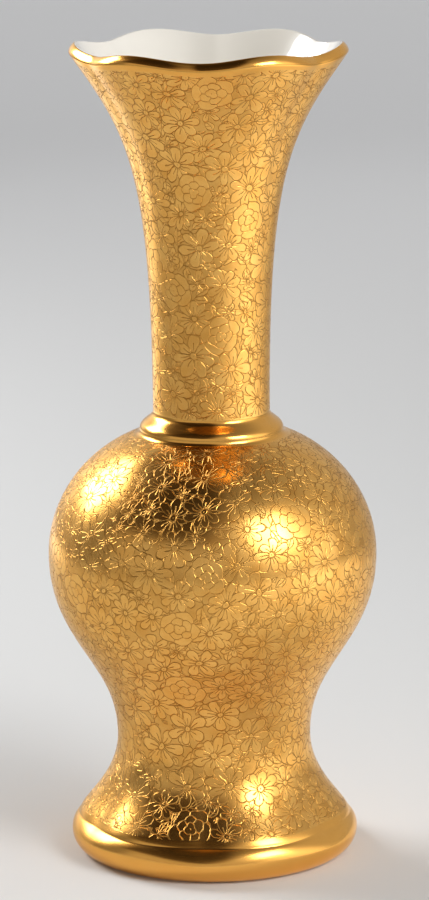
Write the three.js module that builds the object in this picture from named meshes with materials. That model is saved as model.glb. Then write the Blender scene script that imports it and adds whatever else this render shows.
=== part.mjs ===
// A gilded porcelain bud vase, 201 mm tall: a lobed, flared foot, a narrow waist, a round bulb,
// a burnished collar, and a trumpet neck whose six flutes open into a scalloped mouth.
// The body stands on the XY plane, +Z is up, and the origin is the middle of the foot.
import * as THREE from 'three';
import { mergeVertices } from 'three/addons/utils/BufferGeometryUtils.js';

// Foot, from the table up to the waist (millimetres)
const footRadius = 35.5; // widest, at the middle of the rounded band
const footRoundness = 5; // radius of the rounded band's section
const bandUndercut = 65; // degrees below level at which the rounded band stops, clear of the table
const bandCrest = 50; // degrees above level at which the rounded band ends in a shallow crease
const flareLean = 10; // degrees from upright at which the flare rises out of that crease
const flareRise = 20.2; // from the crease to the waist
const waistRadius = 23.9;

// Bulb, from the waist up to the ledge that carries the collar and the neck
const bulbRise = 46;
const bellyRadius = 40.35;
const shoulderRise = 30;
const shoulderSlope = 19.6; // degrees from level where the shoulder meets the collar
const collarSeat = 4.45; // width of the seat that the shoulder leaves round the neck

// Collar and neck
const collarProud = 3.3; // how far the collar's roll stands out from the neck
const collarRise = 5.8;
const neckRadius = 14.3;
const neckRise = 86.7; // from the collar's top to the lower edge of the lip
const mouthRadius = 32.95; // where the etched gold ends under the lip
const mouthSlope = 54.5; // degrees from level at which the neck opens into the lip
const lipBand = 1; // straight part of the lip, below its outer corner
const lipCorner = 0.9; // radius of the outer corner
const lipFaceStart = 18; // degrees above level at which the corner gives way to the broad upper face
const lipFace = 3.2; // radius of the upper face, which slants in towards the mouth
const lipEdge = 0.6; // radius of the round from the upper face into the mouth
const lipGoldEnd = 85; // degrees above level at which the lip's gold gives way to the white inside

// Wall, base and gilding
const wall = 2.8; // porcelain and gilding together
const gilding = 0.35;
const baseThickness = 4;
const footRecess = 2.4; // how far the underside is set up inside the foot ring
const footRingInset = 4.4; // from the band's widest round in to the edge of the flat foot ring
const footRingWidth = 3.8;
const innerFillet = 3; // rounds the corner between base and wall inside

// Lobes, shared by the mouth, the neck and the foot
const lobeCount = 6;
const frontCrease = THREE.MathUtils.degToRad(-4); // the crease nearest the front, turned left of it
const creaseSoftness = 0.17; // 0 folds to a sharp crease, 1 to a plain wave
const mouthFluteDepth = 2.4; // crease against lobe at the lip
const footFluteDepth = 1.6; // crease against lobe where the foot band starts
const lipWave = 1.6; // how far the lip dips at a crease

// Fineness of the facets
const stepsPerLobe = 8;
const flareSteps = 7;
const bandFlareSteps = 1; // steps of the flare that belong to the burnished foot band
const bulbSteps = 6;
const shoulderSteps = 6;
const neckSteps = 12;
const coveSteps = 2;
const collarSteps = 5;
const roundSteps = 5;
const lipSteps = 2;
const lipCrestSteps = 1;
const ceilingSteps = 2;
const filletSteps = 3;

const point = (radius, height) => new THREE.Vector2(radius, height);
const slope = (degrees) => {
  const angle = THREE.MathUtils.degToRad(degrees);
  return point(Math.cos(angle), Math.sin(angle));
};

// A cubic curve in the plane of radius and height. Each end has its own direction and its own reach.
function sweep(start, startDirection, startReach, endDirection, endReach, end, steps) {
  return new THREE.CubicBezierCurve(
    start,
    start.clone().addScaledVector(startDirection, startReach),
    end.clone().addScaledVector(endDirection, -endReach),
    end,
  ).getPoints(steps);
}

// A rounded edge about a centre, between two angles in degrees from level
function round(centre, radius, fromDegrees, toDegrees, steps) {
  const from = THREE.MathUtils.degToRad(fromDegrees);
  const to = THREE.MathUtils.degToRad(toDegrees);
  return new THREE.ArcCurve(centre.x, centre.y, radius, from, to, to < from).getPoints(steps);
}

// The same line moved inwards, square to itself, as a wall of even thickness is
function inset(line, depth) {
  return line.map((here, i) => {
    const before = line[Math.max(i - 1, 0)];
    const after = line[Math.min(i + 1, line.length - 1)];
    const along = after.clone().sub(before).normalize();
    return point(here.x - depth * along.y, here.y + depth * along.x);
  });
}

// The hidden inner faces bend gently, so they take every second point of the line they follow
function everySecond(line) {
  return line.filter((_, i) => i % 2 === 0 || i === line.length - 1);
}

const up = point(0, 1);

// Outer line of the foot: the rounded band, then the flare, which rises steeply out of a shallow crease
// and draws in to the waist
const footRingOuter = footRadius - footRingInset;
const bandCentre = point(footRadius - footRoundness, footRoundness);
const bandRound = round(bandCentre, footRoundness, -bandUndercut, bandCrest, roundSteps);
const crease = bandRound[bandRound.length - 1];
const waist = point(waistRadius, crease.y + flareRise);
const flare = sweep(
  crease, slope(flareLean + 90), flareRise * 0.15, up, flareRise * 0.54, waist, flareSteps,
);

// Outer line of the bulb: out from the waist to the belly, then over the shoulder to the ledge
const belly = point(bellyRadius, waist.y + bulbRise);
const shoulderEnd = point(neckRadius + collarSeat, belly.y + shoulderRise);
const bulb = sweep(waist, up, bulbRise * 0.42, up, bulbRise * 0.47, belly, bulbSteps);
const shoulder = sweep(
  belly, up, shoulderRise * 0.48,
  slope(180 - shoulderSlope), (bellyRadius - shoulderEnd.x) * 0.57, shoulderEnd, shoulderSteps,
);

// The etched gold of the body runs from the top of the foot band to the collar
const bodyLine = [...flare.slice(bandFlareSteps), ...bulb.slice(1), ...shoulder.slice(1)];
const bodyCasting = inset(bodyLine, gilding);
const bodyInside = everySecond(inset(bodyLine, wall));
const ledge = bodyCasting[bodyCasting.length - 1].y;

// Outer line of the neck: straight up from the collar, then out to the mouth in a trumpet
const neckStart = point(neckRadius, shoulderEnd.y + collarRise);
const neckEnd = point(mouthRadius, neckStart.y + neckRise);
const neckLine = sweep(
  neckStart, up, neckRise * 0.67, slope(mouthSlope), neckRise * 0.27, neckEnd, neckSteps,
);
const neckCasting = inset(neckLine, gilding);
const neckInside = everySecond(inset(neckLine, wall));

// The lip runs on along the mouth's slope to a small outer corner. From there a broad, gently rounded
// face slants up and in, and a small round turns it over until it runs into the wall's inside.
// Gold covers the lip from outside to just over its crest, and the rest of the round is white.
const outward = mouthSlope - 90; // the way that the wall's outside faces there, in degrees from level
const cornerStart = neckEnd.clone().addScaledVector(slope(mouthSlope), lipBand);
const cornerCentre = cornerStart.clone().addScaledVector(slope(outward), -lipCorner);
const faceCentre = cornerCentre.clone().addScaledVector(slope(lipFaceStart), lipCorner - lipFace);
const faceDepth = wall - lipCorner - (lipFace - lipCorner) * slope(lipFaceStart - outward).x;
// The edge's centre lies lipEdge inside the wall's inside, and the face's centre faceDepth inside it
const edgeTurn = Math.acos((faceDepth - lipEdge) / (lipFace - lipEdge));
const faceEnd = outward + 180 - THREE.MathUtils.radToDeg(edgeTurn);
const edgeCentre = faceCentre.clone().addScaledVector(slope(faceEnd), lipFace - lipEdge);
const lipTop = edgeCentre.y + lipEdge;
const lipGold = [
  ...round(cornerCentre, lipCorner, outward, lipFaceStart, lipSteps),
  ...round(faceCentre, lipFace, lipFaceStart, faceEnd, lipSteps).slice(1),
  ...round(edgeCentre, lipEdge, faceEnd, lipGoldEnd, lipCrestSteps).slice(1),
];
const lipWhite = round(edgeCentre, lipEdge, lipGoldEnd, outward + 180, lipSteps);

// Fold between two lobes: 1 in the crease and 0 in the middle of a lobe, more V-shaped than a wave
function fold(turn) {
  const across = Math.sin((lobeCount / 2) * (turn - frontCrease));
  return 1 - Math.sqrt((across ** 2 + creaseSoftness ** 2) / (1 + creaseSoftness ** 2));
}

const deepestFold = fold(frontCrease);

// How far the neck has opened, from 0 at the collar to 1 at the lip
function opening(height) {
  return THREE.MathUtils.clamp((height - neckStart.y) / (lipTop - neckStart.y), 0, 1);
}

// Share of the radius that a crease takes away at a height
function fluteShare(height) {
  const foldStart = bodyLine[0].y;
  const belowBand = THREE.MathUtils.smoothstep(height, bandCentre.y, foldStart);
  const aboveBand = 1 - THREE.MathUtils.smoothstep(height, foldStart, waist.y);
  const foot = (footFluteDepth / footRadius) * belowBand * aboveBand;
  const mouth = (mouthFluteDepth / (mouthRadius + lipBand)) * opening(height) ** 2;
  return foot + mouth;
}

// Turns a closed outline about the axis, then presses the flutes and the wave of the lip into it.
// Each facet's diagonal leans the same way on an outer and an inner face, so seats match exactly.
function turned(outline) {
  const columns = lobeCount * stepsPerLobe;
  const rows = outline.length;
  const geometry = new THREE.LatheGeometry(outline, columns, frontCrease, Math.PI * 2);
  const facets = [];
  for (let column = 0; column < columns; column++) {
    for (let row = 0; row < rows - 1; row++) {
      const a = column * rows + row;
      const b = a + rows;
      const rising = outline[row + 1].y >= outline[row].y;
      const pair = rising ? [a, b, a + 1, b + 1, a + 1, b] : [a, b, b + 1, a, b + 1, a + 1];
      if (outline[row].x === 0) facets.push(a, b + 1, a + 1);
      else if (outline[row + 1].x === 0) facets.push(a, b, a + 1);
      else facets.push(...pair);
    }
  }
  geometry.setIndex(facets);
  geometry.deleteAttribute('normal');
  geometry.deleteAttribute('uv');
  geometry.rotateX(Math.PI / 2);

  const place = geometry.getAttribute('position');
  for (let i = 0; i < place.count; i++) {
    const height = place.getZ(i);
    const turn = Math.atan2(place.getX(i), -place.getY(i));
    const reach = 1 - (fluteShare(height) * fold(turn)) / deepestFold;
    const dip = (1 + Math.cos(lobeCount * (turn - frontCrease))) / 2;
    const lower = lipWave * opening(height) ** 6 * dip;
    place.setXYZ(i, place.getX(i) * reach, place.getY(i) * reach, height - lower);
  }
  const solid = mergeVertices(geometry, 1e-4);
  solid.computeVertexNormals();
  return solid;
}

const porcelain = new THREE.MeshStandardMaterial({ color: 0xf2efe8, roughness: 0.15, metalness: 0 });
const burnishedGold = new THREE.MeshStandardMaterial({ color: 0xd89a35, roughness: 0.15, metalness: 1 });
const etchedGold = new THREE.MeshStandardMaterial({ color: 0xc98f3f, roughness: 0.35, metalness: 1 });

function piece(name, outline, material) {
  const mesh = new THREE.Mesh(turned(outline), material);
  mesh.name = name;
  return mesh;
}

// Porcelain casting of foot, waist, bulb and shoulder. Its base is set up inside a flat foot ring.
function lowerCasting() {
  const baseTop = footRecess + baseThickness;
  const neckBore = neckRadius - wall;
  const ringEdge = bandRound[0].y;
  const hollow = bodyInside.filter((p) => p.y > baseTop + innerFillet);
  const corner = hollow[0];
  const shoulderInside = hollow[hollow.length - 1];
  const ceiling = sweep(
    shoulderInside, slope(180 - shoulderSlope / 3), (shoulderInside.x - neckBore) * 0.5,
    up, wall, point(neckBore, ledge), ceilingSteps,
  );
  const floorCorner = sweep(
    corner, corner.clone().sub(hollow[1]).normalize(), innerFillet * 0.6,
    point(-1, 0), innerFillet, point(corner.x - innerFillet, baseTop), filletSteps,
  );
  return [
    point(0, footRecess),
    point(footRingOuter - footRingWidth - footRecess / 4, footRecess),
    point(footRingOuter - footRingWidth, 0),
    point(footRingOuter, 0),
    point(footRingOuter, ringEdge),
    ...bodyCasting,
    ...ceiling.reverse(),
    ...hollow.slice(1, -1).reverse(),
    ...floorCorner,
    point(0, baseTop),
  ];
}

// Porcelain casting of the fluted neck. It stands on the shoulder's ledge, inside the collar, and ends
// in the white inner half of the lip.
function neckShell() {
  const outline = [
    point(neckRadius - wall, ledge),
    point(neckRadius - gilding, ledge),
    ...neckCasting,
    edgeCentre,
    ...lipWhite,
    ...neckInside.slice().reverse(),
  ];
  return [...outline, outline[0]];
}

// Rounded gold band of the foot. It hugs the casting from the foot ring up to the etched gold.
function footBand() {
  const outline = [point(footRingOuter, bandRound[0].y), ...bandRound];
  outline.push(...flare.slice(1, bandFlareSteps + 1), bodyCasting[0]);
  return [...outline, outline[0]];
}

// Burnished moulding round the root of the neck. It sits on the shoulder's ledge and covers the seam. A
// small cove leaves the shoulder, a roll stands out over it, and an ogee draws in from there to the neck.
function collarRing() {
  const widest = point(neckRadius + collarProud, shoulderEnd.y + collarRise * 0.25);
  const cove = sweep(
    shoulderEnd, slope(180 - shoulderSlope), (collarSeat - collarProud) * 0.7,
    up, collarRise * 0.12, widest, coveSteps,
  );
  const crown = sweep(widest, up, collarRise * 0.35, up, collarRise * 0.3, neckStart, collarSteps);
  const outline = [
    point(neckRadius - gilding, ledge),
    bodyCasting[bodyCasting.length - 1],
    ...cove,
    ...crown.slice(1),
    neckCasting[0],
  ];
  return [...outline, outline[0]];
}

// Burnished lip. It caps the edge of the etched gold and the wall's rounded edge, up to its crest.
function lipBead() {
  const outline = [edgeCentre, neckCasting[neckCasting.length - 1], neckEnd, ...lipGold];
  return [...outline, outline[0]];
}

// Thin coat of gold over a casting, from one burnished band to the next
function coat(outer, inner) {
  return [...outer, ...inner.slice().reverse(), outer[0]];
}

const vase = new THREE.Group();
vase.add(
  piece('lower_casting', lowerCasting(), porcelain),
  piece('neck_casting', neckShell(), porcelain),
  piece('foot_band', footBand(), burnishedGold),
  piece('body_gilding', coat(bodyLine, bodyCasting), etchedGold),
  piece('collar_ring', collarRing(), burnishedGold),
  piece('neck_gilding', coat(neckLine, neckCasting), etchedGold),
  piece('lip_bead', lipBead(), burnishedGold),
);

export default vase;
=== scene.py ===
import math

import bpy
import numpy as np
from mathutils import Matrix, Vector


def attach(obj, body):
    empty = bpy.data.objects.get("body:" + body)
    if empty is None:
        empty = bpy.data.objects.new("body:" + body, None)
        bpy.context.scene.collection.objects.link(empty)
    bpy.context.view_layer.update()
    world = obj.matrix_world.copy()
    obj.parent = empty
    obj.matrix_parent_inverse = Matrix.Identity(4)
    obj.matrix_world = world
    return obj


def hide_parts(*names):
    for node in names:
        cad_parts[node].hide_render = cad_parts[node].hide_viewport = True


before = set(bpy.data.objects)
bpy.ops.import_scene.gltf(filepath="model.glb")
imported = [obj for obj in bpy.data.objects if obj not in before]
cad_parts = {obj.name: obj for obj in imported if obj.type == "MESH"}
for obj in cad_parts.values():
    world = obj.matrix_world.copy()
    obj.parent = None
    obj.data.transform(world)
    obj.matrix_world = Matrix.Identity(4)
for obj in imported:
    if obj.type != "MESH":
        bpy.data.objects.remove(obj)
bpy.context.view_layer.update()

# Camera. It stands about a metre in front of the vase, a little above its mouth, and looks slightly
# down on it through a long lens. The frame is 429 by 900 pixels.
camera_distance = 1.0026
camera_height = 0.3172
looking_down = math.radians(12.19)
turned_aside = math.radians(-0.039)
tilted = math.radians(-0.462)
film_height = 36.0
frame_height = 900
focal_length_in_pixels = 4185.5

lens = bpy.data.cameras.new("camera")
lens.sensor_fit = "VERTICAL"
lens.sensor_height = film_height
lens.lens = film_height * (focal_length_in_pixels / frame_height)
lens.clip_end = 20
camera = bpy.data.objects.new("camera", lens)
camera.matrix_world = (
    Matrix.Translation((0, -camera_distance, camera_height))
    @ Matrix.Rotation(turned_aside, 4, "Z")
    @ Matrix.Rotation(math.pi / 2 - looking_down, 4, "X")
    @ Matrix.Rotation(tilted, 4, "Z")
)
bpy.context.collection.objects.link(camera)
bpy.context.scene.camera = camera


# Lower casting. White porcelain, slip-cast with an even wall: foot, waist, bulb and shoulder, with a
# base set up inside a flat foot ring. It is glazed all over, except the ring, which is bare and matt.
# The vase's sizes are in millimetres and its slopes in degrees, and its meshes are in metres.
mm = 0.001
foot_radius = 35.5
foot_roundness = 5.0
band_low = -65
band_crest = 50
band_rows = 6
flare_lean = 10
flare_rise = 20.2
waist_radius = 23.9
bulb_rise = 46.0
belly_radius = 40.35
shoulder_rise = 30.0
shoulder_slope = 19.6
neck_radius = 14.3
collar_seat = 4.45
wall = 2.8
gilding = 0.35
columns = 288
# how far a curve runs out along its two end directions, as shares of its rise or its width
flare_pull = (0.15, 0.54)
bulb_pull = (0.42, 0.47)
shoulder_pull = (0.48, 0.57)


def direction(degrees):
    """The unit vector in the plane of radius and height, at an angle above level."""
    return np.array([math.cos(math.radians(degrees)), math.sin(math.radians(degrees))])


def sweep(start, start_way, start_reach, end_way, end_reach, end, steps):
    """A cubic curve in the plane of radius and height: at share t it is (1-t)^3 of the start,
    3(1-t)^2 t and 3(1-t)t^2 of two points reached along each end's own direction, and t^3 of the end."""
    t = np.linspace(0, 1, steps + 1)[:, None]
    leaving = start + np.multiply(start_way, start_reach)
    arriving = end - np.multiply(end_way, end_reach)
    near = (1 - t) ** 3 * start + 3 * (1 - t) ** 2 * t * leaving
    return near + 3 * (1 - t) * t**2 * arriving + t**3 * end


def rounded(centre, radius, start, end, steps):
    """An arc about a centre: radius times the cosine and sine of angles from start to end degrees."""
    angle = np.radians(np.linspace(start, end, steps + 1))
    return centre + radius * np.stack([np.cos(angle), np.sin(angle)], -1)


def inset(line, depth):
    """A line moved inwards, square to itself: each point less depth times its unit normal."""
    along = np.gradient(line, axis=0)
    along /= np.linalg.norm(along, axis=1)[:, None]
    return line + depth * np.stack([-along[:, 1], along[:, 0]], -1)


up = np.array([0.0, 1.0])
band_centre = np.array([foot_radius - foot_roundness, foot_roundness])
band_round = rounded(band_centre, foot_roundness, band_low, band_crest, steps=30)
waist = np.array([waist_radius, band_round[-1, 1] + flare_rise])
belly = waist + (belly_radius - waist_radius, bulb_rise)
shoulder_end = np.array([neck_radius + collar_seat, belly[1] + shoulder_rise])
flare = sweep(
    band_round[-1], direction(flare_lean + 90), flare_rise * flare_pull[0],
    up, flare_rise * flare_pull[1], waist, steps=42,
)
bulb = sweep(waist, up, bulb_rise * bulb_pull[0], up, bulb_rise * bulb_pull[1], belly, steps=44)
shoulder = sweep(
    belly, up, shoulder_rise * shoulder_pull[0], direction(180 - shoulder_slope),
    (belly_radius - shoulder_end[0]) * shoulder_pull[1], shoulder_end, steps=38,
)
body_line = np.concatenate([flare[band_rows:], bulb[1:], shoulder[1:]])
body_casting = inset(body_line, gilding)
body_inside = inset(body_line, wall)
# the level at which the two castings meet, under the collar
ledge = body_casting[-1, 1]

# the neck's two ends and the crest of the lip, between which the flutes deepen
collar_rise = 5.8
neck_rise = 86.7
mouth_radius = 32.95
mouth_slope = 54.5
lip_band = 1.0
lip_corner = 0.9
lip_face_start = 18
lip_face = 3.2
lip_edge = 0.6
neck_start = np.array([neck_radius, shoulder_end[1] + collar_rise])
neck_end = np.array([mouth_radius, neck_start[1] + neck_rise])
outward = mouth_slope - 90
corner_centre = neck_end + direction(mouth_slope) * lip_band - direction(outward) * lip_corner
face_centre = corner_centre + direction(lip_face_start) * (lip_corner - lip_face)
face_depth = wall - lip_corner - (lip_face - lip_corner) * direction(lip_face_start - outward)[0]
edge_turn = math.acos((face_depth - lip_edge) / (lip_face - lip_edge))
face_end = outward + 180 - math.degrees(edge_turn)
edge_centre = face_centre + direction(face_end) * (lip_face - lip_edge)
lip_top = edge_centre[1] + lip_edge

lobes = 6
front_crease = math.radians(-4)
crease_softness = 0.17
mouth_flute = 2.4
foot_flute = 1.6
lip_wave = 1.6
sharp_edge = math.radians(40)


def smooth(value, low, high):
    """0 below low, 1 above high, and 3s^2 - 2s^3 of the share s in between."""
    share = np.clip((value - low) / (high - low), 0, 1)
    return share**2 * (3 - 2 * share)


def fold(turn):
    """How deep a crease is at an angle: 1 in the crease, 0 in the middle of a lobe, from the softened
    absolute sine of half the lobes times the angle."""
    across = np.sin(lobes / 2 * (turn - front_crease))
    flat = 1 - math.sqrt(crease_softness**2 / (1 + crease_softness**2))
    return (1 - np.sqrt((across**2 + crease_softness**2) / (1 + crease_softness**2))) / flat


def opening(height):
    """Share of the way from the collar's top to the lip's, 0 below and 1 above."""
    return np.clip((height - neck_start[1]) / (lip_top - neck_start[1]), 0, 1)


def pressed(radius, height, turn):
    """Points in metres: a place on the round form, drawn in at the creases of mouth and foot by a
    share of its radius, and lowered at the creases of the lip. The share grows with the square of the
    way up the neck, and the lowering with its sixth power."""
    fold_start = body_line[0, 1]
    foot = smooth(height, band_centre[1], fold_start) * (1 - smooth(height, fold_start, waist[1]))
    share = foot_flute / foot_radius * foot
    share = share + mouth_flute / (mouth_radius + lip_band) * opening(height) ** 2
    reach = radius * (1 - share * fold(turn)) * mm
    dip = lip_wave * opening(height) ** 6 * (1 + np.cos(lobes * (turn - front_crease))) / 2
    return np.stack([reach * np.sin(turn), -reach * np.cos(turn), (height - dip) * mm], -1)


def revolve(name, outline):
    """A closed outline turned about +Z: row i of the grid is outline point i at every angle, pressed
    into lobes. A row on the axis is one point. The OFBake map is the unrolled surface: the angle across
    it, and the distance along the outline up it. Returns the piece, and for each face corner its
    outline point, its angle and whether it is used."""
    rows = len(outline)
    turn = front_crease + np.linspace(0, 2 * math.pi, columns + 1)
    radius, height = outline[:, :1], outline[:, 1:]
    places = pressed(radius, height, turn[None, :-1])
    on_axis = outline[:, 0] < 1e-9
    number = np.arange(rows * columns).reshape(rows, columns)
    number[on_axis] = number[on_axis, :1]
    number = np.concatenate([number, number[:, :1]], 1)
    row, column = np.meshgrid(np.arange(rows), np.arange(columns), indexing="ij")
    ends = np.stack([row, row, (row + 1) % rows, (row + 1) % rows], -1).reshape(-1, 4)
    sides = np.stack([column, column + 1, column + 1, column], -1).reshape(-1, 4)
    corners = number[ends, sides]
    real = ~(on_axis[ends[:, 0]] & on_axis[ends[:, 2]])
    ends, sides, corners = ends[real], sides[real], corners[real]
    used = np.ones((len(corners), 4), bool)
    used[on_axis[ends[:, 0]], 1] = False
    used[on_axis[ends[:, 2]], 3] = False

    keep, order = np.unique(corners[used], return_inverse=True)
    mesh = bpy.data.meshes.new(name)
    mesh.vertices.add(len(keep))
    mesh.vertices.foreach_set("co", places.reshape(-1, 3)[keep].ravel())
    mesh.loops.add(len(order))
    mesh.loops.foreach_set("vertex_index", order.astype(np.int32).ravel())
    mesh.polygons.add(len(corners))
    starts = np.concatenate([[0], np.cumsum(used.sum(1))[:-1]])
    mesh.polygons.foreach_set("loop_start", starts.astype(np.int32))
    mesh.polygons.foreach_set("use_smooth", np.ones(len(corners), bool))
    mesh.update(calc_edges=True)

    step = np.linalg.norm(np.diff(outline, axis=0, append=outline[:1]), axis=1)
    along = np.concatenate([[0], np.cumsum(step)]) / step.sum()
    low = ends[:, 0]
    climb = along[np.stack([low, low, low + 1, low + 1], -1)]
    unrolled = np.stack([sides / columns, climb], -1)[used]
    mesh.uv_layers.new(name="OFBake").uv.foreach_set("vector", unrolled.astype(np.float32).ravel())
    mesh.set_sharp_from_angle(angle=sharp_edge)
    piece = bpy.data.objects.new(name, mesh)
    bpy.context.collection.objects.link(piece)
    return piece, ends, turn[0] + sides * (2 * math.pi / columns), used


def linear(colour):
    """An sRGB hex colour as linear red, green, blue and full alpha."""
    share = [int(colour[i:i + 2], 16) / 255 for i in (1, 3, 5)]
    return [s / 12.92 if s <= 0.04045 else ((s + 0.055) / 1.055) ** 2.4 for s in share] + [1.0]


def add_node(tree, kind, sockets=(), **settings):
    """Adds a node with its settings. sockets are values or links, in order or by name. Returns its
    first output, or the node where it has none."""
    made = tree.nodes.new("ShaderNode" + kind)
    for name, value in settings.items():
        setattr(made, name, value)
    for key, value in sockets.items() if isinstance(sockets, dict) else enumerate(sockets):
        if isinstance(value, bpy.types.NodeSocket):
            tree.links.new(value, made.inputs[key])
        else:
            made.inputs[key].default_value = value
    return made.outputs[0] if made.outputs else made


def every(distance):
    """The scale of a noise whose spots lie this many millimetres apart."""
    return 1 / (distance * mm)


def new_material(name):
    """An empty material with nodes, and its tree."""
    made = bpy.data.materials.new(name)
    made.use_nodes = True
    made.node_tree.nodes.clear()
    return made, made.node_tree


def glazed_porcelain():
    """Hard-paste porcelain under a clear glaze: white with a warm breath, and a wet gloss that is
    broken by a very slight orange peel. The glaze is wiped off where the ring stands, which leaves it
    dry and matt."""
    material, tree = new_material("glazed_porcelain")
    place = add_node(tree, "TexCoord").node.outputs["Object"]
    cloud = add_node(tree, "TexNoise", {"Vector": place, "Scale": every(25), "Detail": 3.0})
    body = add_node(
        tree, "Mix", {0: cloud, 6: linear("#E8E3D9"), 7: linear("#EEEAE1")}, data_type="RGBA"
    ).node.outputs[2]
    peel = add_node(tree, "TexNoise", {"Vector": place, "Scale": every(4), "Detail": 2.0})
    skin = add_node(tree, "Bump", {"Strength": 0.25, "Distance": 0.05 * mm, "Height": peel})
    height = add_node(tree, "SeparateXYZ", [place]).node.outputs[2]
    glazed = add_node(tree, "MapRange", {"Value": height, "From Min": 0.1 * mm, "From Max": 0.4 * mm})
    dry = add_node(tree, "Math", [glazed, -0.5, 0.8], operation="MULTIPLY_ADD")
    glaze = add_node(tree, "BsdfPrincipled", {
        "Base Color": body, "Roughness": dry, "Normal": skin,
        "Coat Weight": glazed, "Coat Roughness": 0.03, "Coat IOR": 1.5, "IOR": 1.5,
    })
    add_node(tree, "OutputMaterial", [glaze])
    return material


foot_ring_inset = 4.4
foot_ring_width = 3.8
recess = 2.4
base_thickness = 4.0
corner_rise = 3.0
corner_run = 4.0
corner_reach = (2.0, 3.0)
foot_ring = foot_radius - foot_ring_inset
ring_inside = foot_ring - foot_ring_width
base_top = recess + base_thickness
neck_bore = neck_radius - wall
hollow = body_inside[body_inside[:, 1] > base_top + corner_rise]
floor_way = hollow[0] - hollow[1]
floor_corner = sweep(
    hollow[0], floor_way / np.linalg.norm(floor_way), corner_reach[0],
    (-1, 0), corner_reach[1], np.array([hollow[0, 0] - corner_run, base_top]), steps=10,
)
ceiling = sweep(
    hollow[-1], direction(180 - shoulder_slope / 3), (hollow[-1, 0] - neck_bore) / 2,
    up, wall, np.array([neck_bore, ledge]), steps=12,
)
# from the middle of the recess out to the ring, under it and up to the gold band
underside = np.array([
    (0, recess), (ring_inside - 4, recess), (ring_inside - 1, recess - 0.1),
    (ring_inside - 0.3, recess - 0.8), (ring_inside, 0.35), (ring_inside + 0.35, 0),
    (foot_ring - 0.3, 0), (foot_ring, 0.25), (foot_ring, band_round[0, 1]),
])
casting_outline = np.concatenate([
    underside, body_casting[::3], body_casting[-1:], ceiling[::-1], hollow[-2:0:-1],
    floor_corner, [(0, base_top)],
])
porcelain = glazed_porcelain()
lower_casting = revolve("porcelain_body", casting_outline)[0]
lower_casting.data.materials.append(porcelain)
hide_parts("lower_casting")
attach(lower_casting, "root")


# Neck casting. The fluted trumpet of the neck, cast on its own and luted with slip to the shoulder,
# under the collar. Its white glazed inside shows in the open mouth, up to the crest of the lip.
neck_pull = (0.67, 0.27)
lip_gold_end = 85
neck_line = sweep(
    neck_start, up, neck_rise * neck_pull[0],
    direction(mouth_slope), neck_rise * neck_pull[1], neck_end, steps=84,
)
neck_casting = inset(neck_line, gilding)
neck_inside = inset(neck_line, wall)
lip_white = rounded(edge_centre, lip_edge, lip_gold_end, outward + 180, steps=6)
neck_outline = np.concatenate([
    [(neck_radius - wall, ledge), (neck_radius - gilding, ledge)],
    neck_casting[::3], neck_casting[-1:], [edge_centre], lip_white, neck_inside[::-1],
])
neck_porcelain = revolve("porcelain_neck", neck_outline)[0]
neck_porcelain.data.materials.append(porcelain)
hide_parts("neck_casting")
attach(neck_porcelain, "root")


# Foot band. The rounded rim of the foot, painted with bright gold, fired and burnished by hand with
# agate, which leaves it smooth and a little uneven. It is duller than the other bands, from handling.
gold_edge = linear("#FFFAEA")


def burnished_gold(name, smoothest, roughest):
    """Burnished gold over glaze: a bright, warm metal with faint rubbing marks round the piece, seen as
    small changes of gloss between two roughnesses, and a very slight unevenness."""
    material, tree = new_material(name)
    place = add_node(tree, "TexCoord").node.outputs["Object"]
    drawn_out = add_node(tree, "Mapping", {"Vector": place, "Scale": (1.0, 1.0, 9.0)})
    rubbing = add_node(tree, "TexNoise", {"Vector": drawn_out, "Scale": every(6), "Detail": 5.0})
    uneven = add_node(tree, "TexNoise", {"Vector": place, "Scale": every(14), "Detail": 2.0})
    gloss = add_node(tree, "MapRange", {"Value": rubbing, "To Min": smoothest, "To Max": roughest})
    warm = add_node(
        tree, "Mix", {0: uneven, 6: linear("#EBA94E"), 7: linear("#F4B75E")}, data_type="RGBA"
    ).node.outputs[2]
    skin = add_node(tree, "Bump", {"Strength": 0.35, "Distance": 0.3 * mm, "Height": uneven})
    metal = add_node(tree, "BsdfPrincipled", {
        "Base Color": warm, "Metallic": 1.0, "Roughness": gloss, "Normal": skin,
        "Specular Tint": gold_edge,
    })
    add_node(tree, "OutputMaterial", [metal])
    return material


handled_gold = burnished_gold("handled_burnished_gold", 0.17, 0.27)
foot_outline = np.concatenate([
    [(foot_ring, band_round[0, 1])], band_round, flare[1:band_rows + 1], body_casting[:1],
])
foot_band = revolve("foot_band_gold", foot_outline)[0]
foot_band.data.materials.append(handled_gold)
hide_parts("foot_band")
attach(foot_band, "root")


# Etched gold of the body. Acid bites a close pattern of blossoms, rosettes and leaf sprigs into the
# glaze, and the gold is fired over it: a satin metal with fine sunk lines, about 0.3 mm wide.
motif_layers = 4
motif_margin = 1.2
line_core = 0.03
line_reach = 0.145
seed_body = 11


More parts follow.
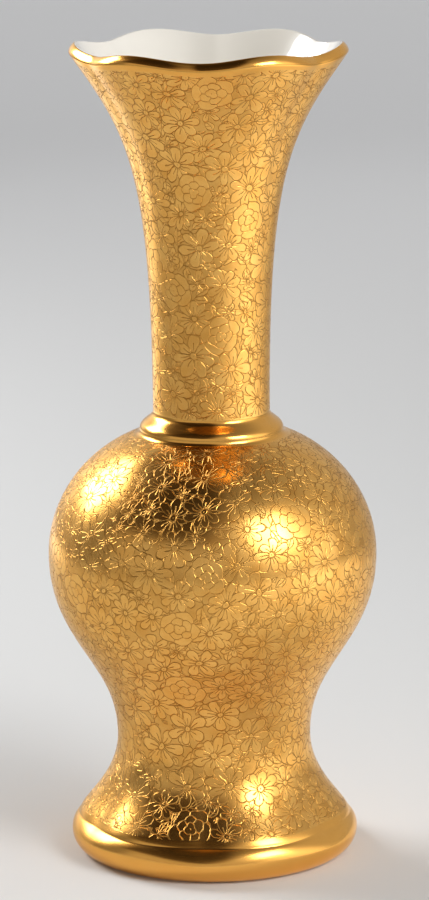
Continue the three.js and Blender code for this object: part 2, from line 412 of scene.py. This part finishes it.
def scatter(line, seed):
    """Motifs on the surface that a line sweeps: tried at random places and kept where their distance to
    each kept one, along the line and round the radius there, is over a share of the two sizes added.
    Returns the distance along the line, the angle, the own turn, the size and the code of each."""
    draw = np.random.default_rng(seed)
    arc = np.concatenate([[0], np.cumsum(np.linalg.norm(np.diff(line, axis=0), axis=1))])
    kinds = (
        # tries, smallest and largest size in mm, share of the sizes kept apart, codes
        (40, 4.6, 5.6, 0.86, (20.0,)),
        (9000, 4.4, 5.7, 0.76, (6.0, 7.0, 8.0, 9.0)),
        (9000, 2.6, 3.4, 0.74, (5.0, 6.0)),
        (9000, 4.2, 5.4, 0.46, (12.0, 13.0, 14.0)),
        (6000, 2.2, 3.0, 0.44, (12.0, 13.0)),
    )
    kept = np.zeros((0, 5))
    for tries, low, high, apart, codes in kinds:
        span = draw.uniform(0, arc[-1], tries)
        turn = draw.uniform(-math.pi, math.pi, tries)
        fair = draw.uniform(0, line[:, 0].max(), tries) < np.interp(span, arc, line[:, 0])
        size = draw.uniform(low, high, tries)
        code = draw.choice(codes, tries)
        own = draw.uniform(0, 2 * math.pi, tries)
        for trial in np.stack([span, turn, own, size, code], -1)[fair]:
            round_radius = np.interp(trial[0], arc, line[:, 0])
            gap = np.angle(np.exp(1j * (kept[:, 1] - trial[1]))) * round_radius
            far = np.hypot(gap, kept[:, 0] - trial[0])
            if (far > apart * (kept[:, 3] + trial[3])).all():
                kept = np.concatenate([kept, trial[None]])
    return kept, arc


def lay_motifs(piece, line, ends, turns, used, seed):
    """Gives each face corner its place in up to four motifs that reach its face, in millimetres from the
    motif's middle and turned with it, topmost first, with the motif's code in the third number: the kind
    and number of petals before the point, and a tenth of the size after it. Also gives it its distance
    from the nearer edge of the coat."""
    motifs, arc = scatter(line, seed)
    last = len(line)
    rows = np.minimum(ends, last - 1)
    outer = (ends < last).all(1) & (ends[:, 2] > ends[:, 0])
    span = arc[rows]
    radius = line[rows, 0]
    middle_span = span.mean(1)
    middle_turn = turns.mean(1)
    gap = np.angle(np.exp(1j * (middle_turn[:, None] - motifs[None, :, 1])))
    far = np.hypot(gap * radius.mean(1)[:, None], middle_span[:, None] - motifs[None, :, 0])
    near = (far < motifs[None, :, 3] + motif_margin) & outer[:, None]
    rank = np.where(near, np.arange(len(motifs))[None, :], len(motifs))
    first = np.sort(np.partition(rank, motif_layers, axis=1)[:, :motif_layers], axis=1)
    padded = np.concatenate([motifs, np.zeros((1, 5))])
    for layer in range(motif_layers):
        chosen = padded[first[:, layer]]
        across = np.angle(np.exp(1j * (turns - chosen[:, 1:2]))) * radius
        along = span - chosen[:, :1]
        cosine, sine = np.cos(chosen[:, 2:3]), np.sin(chosen[:, 2:3])
        code = np.where(chosen[:, 4] > 0, chosen[:, 4] + chosen[:, 3] / 10, 0)
        place = np.stack([
            across * cosine + along * sine, along * cosine - across * sine,
            np.repeat(code[:, None], 4, 1),
        ], -1)
        held = piece.data.attributes.new(f"motif_{layer + 1}", "FLOAT_VECTOR", "CORNER")
        held.data.foreach_set("vector", place[used].astype(np.float32).ravel())
    edge = np.minimum(span, arc[-1] - span)
    margin = piece.data.attributes.new("from_edge", "FLOAT", "CORNER")
    margin.data.foreach_set("value", edge[used].astype(np.float32))


def engraved_motif():
    """A node group that draws one motif. From the place in millimetres and the code it works out the
    distance to the nearest line of a blossom, a leaf sprig or a full rosette, and gives the line's depth
    and whether the motif covers what lies under it."""
    tree = bpy.data.node_groups.new("engraved_motif", "ShaderNodeTree")
    tree.interface.new_socket("Place", in_out="INPUT", socket_type="NodeSocketVector")
    tree.interface.new_socket("Unevenness", in_out="INPUT", socket_type="NodeSocketVector")
    tree.interface.new_socket("Line", in_out="OUTPUT", socket_type="NodeSocketFloat")
    tree.interface.new_socket("Cover", in_out="OUTPUT", socket_type="NodeSocketFloat")
    given = tree.nodes.new("NodeGroupInput")
    place = add_node(tree, "SeparateXYZ", [given.outputs["Place"]]).node
    drawn = add_node(tree, "VectorMath", list(given.outputs)[:2], operation="ADD")
    drawn = add_node(tree, "SeparateXYZ", [drawn]).node
    known = {"x": drawn.outputs[0], "y": drawn.outputs[1], "code": place.outputs[2]}
    # each step names its result, what it does, and what it does that to
    steps = (
        ("kind", "FLOOR", "code"),
        ("tenth", "FRACT", "code"),
        ("size", "MULTIPLY", "tenth", 10.0),
        ("size", "MAXIMUM", "size", 0.5),
        ("present", "GREATER_THAN", "kind", 0.5),
        ("leafy", "GREATER_THAN", "kind", 9.5),
        ("rosette", "GREATER_THAN", "kind", 19.5),
        ("petals", "FLOORED_MODULO", "kind", 10.0),
        ("petals", "MAXIMUM", "petals", 2.0),
        ("square", "MULTIPLY", "y", "y"),
        ("square", "MULTIPLY_ADD", "x", "x", "square"),
        ("reach", "SQRT", "square"),
        ("share", "DIVIDE", "reach", "size"),
        ("turn", "ARCTAN2", "y", "x"),
        # one petal stands for all: the angle is folded into the sector of a single petal
        ("half", "DIVIDE", math.pi, "petals"),
        ("other_half", "MULTIPLY", "half", -1.0),
        ("folded", "WRAP", "turn", "half", "other_half"),
        ("cosine", "COSINE", "folded"),
        ("sine", "SINE", "folded"),
        # the petals of one blossom differ in length
        ("sector", "SUBTRACT", "turn", "folded"),
        ("sector", "MULTIPLY_ADD", "sector", 2.0, "code"),
        ("longer", "SINE", "sector"),
        ("longer", "MULTIPLY_ADD", "longer", 0.1, 0.98),
        ("petal_share", "DIVIDE", "share", "longer"),
        ("along", "MULTIPLY", "petal_share", "cosine"),
        ("aside", "MULTIPLY", "petal_share", "sine"),
        ("aside", "ABSOLUTE", "aside"),
        ("along_petal", "SUBTRACT", "along", 0.56),
        ("along_petal", "DIVIDE", "along_petal", 0.42),
        ("long_square", "MULTIPLY", "along_petal", "along_petal"),
        # a petal is an oval that swells towards its tip, as wide as its sector lets it be
        ("slope", "TANGENT", "half"),
        ("widest", "MULTIPLY", "slope", 0.52),
        ("widest", "MINIMUM", "widest", 0.23),
        ("swelling", "MULTIPLY_ADD", "along_petal", 0.4, 1.0),
        ("swelling", "MAXIMUM", "swelling", 0.3),
        ("widest", "MULTIPLY", "widest", "swelling"),
        ("wide", "DIVIDE", "aside", "widest"),
        ("oval", "MULTIPLY_ADD", "wide", "wide", "long_square"),
        ("oval", "SQRT", "oval"),
        ("oval", "SUBTRACT", "oval", 1.0),
        ("oval", "MULTIPLY", "oval", 0.32),
        # a leaf is pointed: its half width falls away with the square of the way to its tips
        ("leaf", "MULTIPLY_ADD", "long_square", 0.22, "aside"),
        ("leaf", "SUBTRACT", "leaf", 0.22),
        ("unleafy", "SUBTRACT", 1.0, "leafy"),
        ("outline", "MULTIPLY", "oval", "unleafy"),
        ("outline", "MULTIPLY_ADD", "leaf", "leafy", "outline"),
        ("outline", "MULTIPLY", "outline", "size"),
        ("edge", "ABSOLUTE", "outline"),
        ("outside", "GREATER_THAN", "outline", 0.0),
        # one vein runs from the base along the middle, short in a petal and long in a leaf
        ("vein_end", "MULTIPLY_ADD", "leafy", 0.75, 0.05),
        ("past_vein", "GREATER_THAN", "along_petal", "vein_end"),
        ("vein", "MULTIPLY_ADD", "aside", "size", "past_vein"),
        ("edge", "MINIMUM", "edge", "vein"),
        # side veins cross a leaf
        ("rib", "MULTIPLY_ADD", "aside", -0.9, "along"),
        ("rib", "MULTIPLY", "rib", 3.2),
        ("rib", "FRACT", "rib"),
        ("rib", "SUBTRACT", "rib", 0.5),
        ("rib", "ABSOLUTE", "rib"),
        ("rib", "MULTIPLY", "rib", "size"),
        ("rib", "MULTIPLY_ADD", "rib", 0.23, 0.06),
        ("rib", "ADD", "rib", "unleafy"),
        ("rib", "ADD", "rib", "outside"),
        ("edge", "MINIMUM", "edge", "rib"),
        # the boss in the middle of a blossom, with a dot in it
        ("boss", "MULTIPLY_ADD", "size", -0.15, "reach"),
        ("boss_edge", "ABSOLUTE", "boss"),
        ("boss_edge", "ADD", "boss_edge", "leafy"),
        ("in_boss", "LESS_THAN", "boss", 0.0),
        ("in_boss", "MULTIPLY", "in_boss", "unleafy"),
        ("edge", "ADD", "edge", "in_boss"),
        ("edge", "MINIMUM", "edge", "boss_edge"),
        ("dot", "ADD", "reach", "leafy"),
        ("edge", "MINIMUM", "edge", "dot"),
        ("petal_cover", "LESS_THAN", "outline", 0.0),
        ("petal_cover", "MAXIMUM", "petal_cover", "in_boss"),
        # a rosette has three rings of scalloped petals, each turned half a petal from the last
        ("wave", "MULTIPLY", "turn", 2.5),
        ("outer_wave", "COSINE", "wave"),
        ("outer_wave", "ABSOLUTE", "outer_wave"),
        ("inner_wave", "SINE", "wave"),
        ("inner_wave", "ABSOLUTE", "inner_wave"),
        ("heart_wave", "MULTIPLY", "turn", 1.5),
        ("heart_wave", "COSINE", "heart_wave"),
        ("heart_wave", "ABSOLUTE", "heart_wave"),
        ("outer_rim", "MULTIPLY_ADD", "outer_wave", 0.18, 0.82),
        ("outer_ring", "SUBTRACT", "share", "outer_rim"),
        ("inner_rim", "MULTIPLY_ADD", "inner_wave", 0.13, 0.5),
        ("inner_ring", "SUBTRACT", "share", "inner_rim"),
        ("heart_rim", "MULTIPLY_ADD", "heart_wave", 0.1, 0.2),
        ("heart_ring", "SUBTRACT", "share", "heart_rim"),
        ("rose_cover", "LESS_THAN", "outer_ring", 0.0),
        ("in_inner", "LESS_THAN", "inner_ring", 0.0),
        ("in_heart", "LESS_THAN", "heart_ring", 0.0),
        ("past_rim", "SUBTRACT", 1.0, "rose_cover"),
        ("outer_parting", "MULTIPLY", "outer_wave", "reach"),
        ("outer_parting", "MULTIPLY_ADD", "outer_parting", 0.4, "past_rim"),
        ("outer_parting", "ADD", "outer_parting", "in_inner"),
        ("out_of_inner", "SUBTRACT", 1.0, "in_inner"),
        ("inner_parting", "MULTIPLY", "inner_wave", "reach"),
        ("inner_parting", "MULTIPLY_ADD", "inner_parting", 0.4, "out_of_inner"),
        ("inner_parting", "ADD", "inner_parting", "in_heart"),
        ("outer_ring", "ABSOLUTE", "outer_ring"),
        ("inner_ring", "ABSOLUTE", "inner_ring"),
        ("heart_ring", "ABSOLUTE", "heart_ring"),
        ("rose_edge", "MINIMUM", "outer_ring", "inner_ring"),
        ("rose_edge", "MINIMUM", "rose_edge", "heart_ring"),
        ("rose_edge", "MULTIPLY", "rose_edge", "size"),
        ("rose_edge", "MINIMUM", "rose_edge", "outer_parting"),
        ("rose_edge", "MINIMUM", "rose_edge", "inner_parting"),
        ("rose_edge", "MINIMUM", "rose_edge", "reach"),
        ("plain", "SUBTRACT", 1.0, "rosette"),
        ("edge", "MULTIPLY", "edge", "plain"),
        ("edge", "MULTIPLY_ADD", "rose_edge", "rosette", "edge"),
        ("cover", "MULTIPLY", "petal_cover", "plain"),
        ("cover", "MULTIPLY_ADD", "rose_cover", "rosette", "cover"),
        ("cover", "MULTIPLY", "cover", "present"),
    )
    for name, operation, *operands in steps:
        values = [known.get(value, value) for value in operands]
        known[name] = add_node(tree, "Math", values, operation=operation)
    # a line is sunk to its full depth in its core, and rises from there to the face
    line = add_node(tree, "MapRange", [known["edge"], line_core, line_reach, 1.0, 0.0])
    line = add_node(tree, "Math", [line, known["present"]], operation="MULTIPLY")
    result = tree.nodes.new("NodeGroupOutput")
    tree.links.new(line, result.inputs["Line"])
    tree.links.new(known["cover"], result.inputs["Cover"])
    return tree


def etched_gold(motif):
    """Acid-etched gold. The faces of the petals are a soft satin. The sunk lines have sloping sides, so
    they throw back light from elsewhere: bright where the face is dark, dark where it is bright. Their
    colour is also drawn towards a dark brown, which is painted shade in the lines. The ground between
    the motifs is a little browner."""
    material, tree = new_material("etched_gold")
    place = add_node(tree, "TexCoord").node.outputs["Object"]
    waver = (0.0, 0.0, 0.0)
    drawn_by_hand = (
        # the lines shake a little and sway slowly: over how many mm, with what detail, by how many mm
        (2.4, 1.0, 1.1),
        (8, 0.0, 1.7),
    )
    for length, detail, travel in drawn_by_hand:
        shake = add_node(tree, "TexNoise", {"Vector": place, "Scale": every(length), "Detail": detail})
        shake = shake.node.outputs["Color"]
        shake = add_node(tree, "VectorMath", [shake, (0.5, 0.5, 0.5)], operation="SUBTRACT")
        waver = add_node(
            tree, "VectorMath", [shake, (travel, travel, 0.0), waver], operation="MULTIPLY_ADD"
        )
    lines = covered = None
    for layer in range(motif_layers):
        laid = add_node(tree, "Attribute", attribute_name=f"motif_{layer + 1}").node.outputs["Vector"]
        drawn = add_node(tree, "Group", node_tree=motif).node
        tree.links.new(laid, drawn.inputs["Place"])
        tree.links.new(waver, drawn.inputs["Unevenness"])
        line, cover = drawn.outputs
        if lines is None:
            lines, covered = line, cover
            continue
        bare = add_node(tree, "Math", [1.0, covered], operation="SUBTRACT")
        shown = add_node(tree, "Math", [line, bare], operation="MULTIPLY")
        lines = add_node(tree, "Math", [lines, shown], operation="MAXIMUM")
        covered = add_node(tree, "Math", [covered, cover], operation="MAXIMUM")

    # the etching stops up to half a millimetre short of the smooth bands, along an uneven border
    from_edge = add_node(tree, "Attribute", attribute_name="from_edge").node.outputs["Fac"]
    hand = add_node(tree, "TexNoise", {"Vector": place, "Scale": every(11), "Detail": 2.0})
    brim = add_node(tree, "Math", [hand, 1.6, from_edge], operation="MULTIPLY_ADD")
    bitten = add_node(tree, "MapRange", {"Value": brim, "From Min": 0.95, "From Max": 1.25})
    lines = add_node(tree, "Math", [lines, bitten], operation="MULTIPLY")
    ground = add_node(tree, "Math", [1.0, covered], operation="SUBTRACT")
    ground = add_node(tree, "Math", [ground, bitten], operation="MULTIPLY")
    grain = add_node(tree, "TexNoise", {"Vector": place, "Scale": every(0.55), "Detail": 2.0})
    cloud = add_node(tree, "TexNoise", {"Vector": place, "Scale": every(4.2), "Detail": 3.0})
    face = add_node(
        tree, "Mix", {0: cloud, 6: linear("#E29E43"), 7: linear("#FAC56F")}, data_type="RGBA"
    ).node.outputs[2]
    # painted shade in the sunk lines, which draws their colour towards dark brown, and a browner ground
    # between the motifs
    line_shade_and_ground_tone = add_node(tree, "Math", [ground, 0.22], operation="MULTIPLY")
    line_shade_and_ground_tone = add_node(tree, "Math", [lines, 0.68, line_shade_and_ground_tone], operation="MULTIPLY_ADD")
    colour = add_node(
        tree, "Mix", {0: line_shade_and_ground_tone, 6: face, 7: linear("#8E5E22")}, data_type="RGBA"
    ).node.outputs[2]
    satin = add_node(tree, "MapRange", {"Value": bitten, "To Min": 0.17, "To Max": 0.23})
    dull = add_node(tree, "Math", [lines, 0.2, satin], operation="MULTIPLY_ADD")
    low = add_node(tree, "Math", [grain, -0.04, lines], operation="MULTIPLY_ADD")
    relief = add_node(tree, "Math", [0.0, low], operation="SUBTRACT")
    skin = add_node(tree, "Bump", {"Strength": 1.0, "Distance": 0.06 * mm, "Height": relief})
    metal = add_node(tree, "BsdfPrincipled", {
        "Base Color": colour, "Metallic": 1.0, "Roughness": dull, "Normal": skin,
        "Specular Tint": gold_edge,
    })
    add_node(tree, "OutputMaterial", [metal])
    return material


chased_gold = etched_gold(engraved_motif())
body_coat = np.concatenate([body_line, body_casting[::-3], body_casting[:1]])
body_gilding, *grid = revolve("etched_body_gold", body_coat)
lay_motifs(body_gilding, body_line, *grid, seed_body)
body_gilding.data.materials.append(chased_gold)
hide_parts("body_gilding")
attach(body_gilding, "root")


# Collar ring. A burnished moulding that hides the seam between shoulder and neck: a small cove leaves
# the shoulder, a roll stands out over it, and an ogee draws in from there to the neck.
collar_proud = 3.3
cove_share = 0.25
cove_pull = (0.7, 0.12)
crown_pull = (0.35, 0.3)
widest = np.array([neck_radius + collar_proud, shoulder_end[1] + collar_rise * cove_share])
cove = sweep(
    shoulder_end, direction(180 - shoulder_slope), (collar_seat - collar_proud) * cove_pull[0],
    up, collar_rise * cove_pull[1], widest, steps=12,
)
crown = sweep(
    widest, up, collar_rise * crown_pull[0], up, collar_rise * crown_pull[1], neck_start, steps=24
)
collar_outline = np.concatenate([
    [(neck_radius - gilding, ledge)], body_casting[-1:], cove, crown[1:], neck_casting[:1],
])
smooth_gold = burnished_gold("burnished_gold", 0.11, 0.21)
collar = revolve("collar_gold", collar_outline)[0]
collar.data.materials.append(smooth_gold)
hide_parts("collar_ring")
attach(collar, "root")


# Etched gold of the neck. The same bitten pattern, carried up the trumpet and over its six flutes, to
# the burnished lip.
seed_neck = 23
neck_coat = np.concatenate([neck_line, neck_casting[::-3], neck_casting[:1]])
neck_gilding, *grid = revolve("etched_neck_gold", neck_coat)
lay_motifs(neck_gilding, neck_line, *grid, seed_neck)
neck_gilding.data.materials.append(chased_gold)
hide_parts("neck_gilding")
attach(neck_gilding, "root")


# Lip. The scalloped edge of the mouth, burnished bright. Its gold reaches from the etching to just over
# the crest, where the white glaze of the inside begins.
lip_outline = np.concatenate([
    [edge_centre], neck_casting[-1:], neck_line[-1:],
    rounded(corner_centre, lip_corner, outward, lip_face_start, steps=6),
    rounded(face_centre, lip_face, lip_face_start, face_end, steps=8)[1:],
    rounded(edge_centre, lip_edge, face_end, lip_gold_end, steps=3)[1:],
])
lip = revolve("lip_gold", lip_outline)[0]
lip.data.materials.append(smooth_gold)
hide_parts("lip_bead")
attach(lip, "root")


# Studio. A pale paper sweep runs under the vase and up behind it. A lamp inside a larger, fainter one
# lights it from the front on the right, and another pair from behind on the left. The room is dim high
# up and in front, which the burnished gold shows. Its sizes are in metres.
def matt_paper():
    """Matt pale paper, a little greyer far away, which is painted shade. To the lens it is plain. What
    the gold mirrors of it has painted pools of light and one patch of painted shade, as a room's light
    leaves them on a table. It shows from its front only, so that it hides nothing from behind or below."""
    material, tree = new_material("matt_paper")
    place = add_node(tree, "TexCoord").node.outputs["Object"]
    ray = add_node(tree, "LightPath").node
    mirrored = ray.outputs["Is Glossy Ray"]
    depth = add_node(tree, "SeparateXYZ", [place]).node.outputs[1]
    # painted shade: the paper's colour turns greyer the farther back it lies
    far = add_node(tree, "MapRange", {"Value": depth, "From Min": -0.1, "From Max": 1.6})
    colour = add_node(
        tree, "Mix", {0: far, 6: linear("#DEDFDF"), 7: linear("#D3D4D5")}, data_type="RGBA"
    ).node.outputs[2]
    # painted shade: a darker patch of paper out on the left, seen only in the gold's reflections
    mirrored_shade_patch = add_node(tree, "VectorMath", [place, (-0.85, 0.25, 0.0)], operation="DISTANCE")
    mirrored_shade_patch = mirrored_shade_patch.node.outputs[1]
    mirrored_shade_patch = add_node(tree, "MapRange", [mirrored_shade_patch, 0.75, 0.25, 0.0, 0.45], interpolation_type="SMOOTHSTEP")
    mirrored_shade_patch = add_node(tree, "Math", [mirrored_shade_patch, mirrored], operation="MULTIPLY")
    colour = add_node(
        tree, "Mix", {0: mirrored_shade_patch, 6: colour, 7: linear("#5A5650")}, data_type="RGBA"
    ).node.outputs[2]
    matt = add_node(tree, "BsdfPrincipled", {"Base Color": colour, "Roughness": 0.9})
    seen = add_node(tree, "Math", [ray.outputs["Is Camera Ray"], mirrored], operation="MAXIMUM")
    all_round = add_node(tree, "VectorMath", [place], operation="LENGTH").node.outputs[1]
    away = add_node(tree, "Mix", {0: ray.outputs["Is Camera Ray"], 2: depth, 3: all_round})
    pale = add_node(tree, "MapRange", {
        "Value": away, "From Min": 0.3, "From Max": 1.15, "To Max": 0.24,
    }, interpolation_type="SMOOTHSTEP")
    # painted light: pools that glow on the paper only in the gold's reflections
    pools = (
        # the middle of a pool of light on the paper, its radius and its strength
        ((0.55, -0.12, 0.0), 0.62, 1.3),
        ((-0.4, 0.45, 0.0), 0.34, 1.3),
        ((-1.1, 1.9, 0.5), 0.95, 0.8),
    )
    pooled = 0.0
    for middle, radius, strength in pools:
        away = add_node(tree, "VectorMath", [place, middle], operation="DISTANCE").node.outputs[1]
        pool = [away, radius, 0.0, 0.0, strength]
        pool = add_node(tree, "MapRange", pool, interpolation_type="SMOOTHSTEP")
        pooled = add_node(tree, "Math", [pooled, pool], operation="ADD")
    pooled = add_node(tree, "Math", [pooled, mirrored], operation="MULTIPLY")
    pale = add_node(tree, "Math", [pale, seen, pooled], operation="MULTIPLY_ADD")
    pale = add_node(tree, "Emission", {"Color": linear("#FBFCFF"), "Strength": pale})
    lit = add_node(tree, "AddShader", [matt, pale])
    behind = add_node(tree, "NewGeometry").node.outputs["Backfacing"]
    one_way = add_node(tree, "MixShader", [behind, lit, add_node(tree, "BsdfTransparent")])
    add_node(tree, "OutputMaterial", [one_way])
    return material


def paper_sweep(width, front, back, bend, top):
    """The paper's profile, at three places across its width: flat from the front, a quarter round of the
    bend's radius, then upright at the back to the top."""
    bend_centre = np.array([back - bend, bend])
    profile = np.concatenate([
        [(front, 0.0)], rounded(bend_centre, bend, -90, 0, steps=24), [(back, top)],
    ])
    across, depth = np.meshgrid(np.linspace(-width / 2, width / 2, 3), profile[:, 0])
    grid = np.stack([across, depth, np.broadcast_to(profile[:, 1:], depth.shape)], -1)
    number = np.arange(depth.size).reshape(depth.shape)
    faces = np.stack([number[:-1, :-1], number[:-1, 1:], number[1:, 1:], number[1:, :-1]], -1)
    mesh = bpy.data.meshes.new("paper")
    mesh.from_pydata(grid.reshape(-1, 3).tolist(), [], faces.reshape(-1, 4).tolist())
    mesh.polygons.foreach_set("use_smooth", np.ones(len(mesh.polygons), bool))
    mesh.materials.append(matt_paper())
    paper = bpy.data.objects.new("paper", mesh)
    bpy.context.collection.objects.link(paper)


def facing(azimuth, elevation):
    """The unit vector from the vase towards an azimuth, 0 in front and positive to the right, and an
    elevation, both in degrees."""
    turn, rise = math.radians(azimuth), math.radians(elevation)
    return Vector((math.sin(turn) * math.cos(rise), -math.cos(turn) * math.cos(rise), math.sin(rise)))


lamp_aim = Vector((0, 0, 0.1))
lamp_spread = math.radians(150)


def soft_lamp(name, azimuth, elevation, distance, size, strength):
    """A lamp that faces the vase's middle, behind a grid that keeps its light off the paper under it.
    Its power is its area times pi times a strength."""
    lamp = bpy.data.lights.new(name, "AREA")
    lamp.shape = "RECTANGLE"
    lamp.size, lamp.size_y = size
    lamp.energy = math.pi * size[0] * size[1] * strength
    lamp.spread = lamp_spread
    held = bpy.data.objects.new(name, lamp)
    held.location = facing(azimuth, elevation) * distance + lamp_aim
    held.rotation_euler = (math.pi / 2 - math.radians(elevation), 0, math.radians(azimuth))
    bpy.context.collection.objects.link(held)


def dim_room():
    """The world: pale all round the horizon, brightest towards the right, and dimmer on the left and
    high up. A warm dark stands in front on the left, from about 25 degrees up, and reaches over to high
    up behind, as the unlit end of a room and its ceiling do. Seen past the paper's end it is as pale as
    the paper there."""
    world = bpy.data.worlds.new("room")
    world.use_nodes = True
    tree = world.node_tree
    tree.nodes.clear()
    way = add_node(tree, "TexCoord")
    parts = add_node(tree, "SeparateXYZ", [way]).node.outputs
    ahead = add_node(tree, "Math", [parts[1], -1.0], operation="MULTIPLY")
    azimuth = add_node(tree, "Math", [parts[0], ahead], operation="ARCTAN2")
    to_right, to_left, overhead = [
        add_node(tree, "VectorMath", [way, facing(*side)], operation="DOT_PRODUCT").node.outputs[1]
        for side in ((70, 4), (-96, 14), (-112, 70))
    ]
    changes = (
        # what the level changes with, between which two values, by how much
        (to_right, 0.76, 1.0, 1.0),
        (to_left, 0.88, 0.98, -0.32),
        (parts[2], 0.6, 0.97, -0.32),
    )
    level = 0.58
    for value, low, high, change in changes:
        share = add_node(tree, "MapRange", [value, low, high], interpolation_type="SMOOTHSTEP")
        level = add_node(tree, "Math", [share, change, level], operation="MULTIPLY_ADD")
    leaning = add_node(tree, "Math", [parts[2], -0.8, azimuth], operation="MULTIPLY_ADD")
    borders = (
        # the dark's left border, its right one, which leans over with the height, and its lower one
        (azimuth, -1.7, -1.45),
        (leaning, -0.16, -0.7),
        (parts[2], 0.4, 0.52),
    )
    dark = 1.0
    for value, outside, inside in borders:
        share = add_node(tree, "MapRange", [value, outside, inside], interpolation_type="SMOOTHSTEP")
        dark = add_node(tree, "Math", [share, dark], operation="MULTIPLY")
    corner = [overhead, 0.8, 0.93, 0.0, 0.85]
    corner = add_node(tree, "MapRange", corner, interpolation_type="SMOOTHSTEP")
    dark = add_node(tree, "Math", [dark, corner], operation="MAXIMUM")
    kept = add_node(tree, "Math", [dark, -0.9, 1.0], operation="MULTIPLY_ADD")
    light = add_node(tree, "Math", [level, kept], operation="MULTIPLY")
    seen = add_node(tree, "LightPath").node.outputs["Is Camera Ray"]
    past_the_paper = 0.52
    light = add_node(tree, "Mix", {0: seen, 2: light, 3: past_the_paper})
    unseen = add_node(tree, "Math", [1.0, seen], operation="SUBTRACT")
    warm = add_node(tree, "Math", [dark, unseen], operation="MULTIPLY")
    tint = add_node(
        tree, "Mix", {0: warm, 6: linear("#FFFFFF"), 7: linear("#FFDDB4")}, data_type="RGBA"
    ).node.outputs[2]
    glow = add_node(tree, "Background", {"Color": tint, "Strength": light})
    add_node(tree, "OutputWorld", [glow])
    bpy.context.scene.world = world


paper_sweep(width=5.2, front=-2.5, back=2.0, bend=0.7, top=1.5)
soft_lamp("right_lamp", 47, 30, 0.94, (0.42, 0.42), 5.5)
soft_lamp("right_softbox", 50, 26, 0.98, (0.7, 0.66), 0.4)
soft_lamp("left_lamp", -126, 31, 0.94, (0.46, 0.42), 7.1)
soft_lamp("left_softbox", -125, 28, 0.98, (0.8, 0.6), 0.33)
dim_room()

bpy.context.scene.view_settings.view_transform = "Standard"
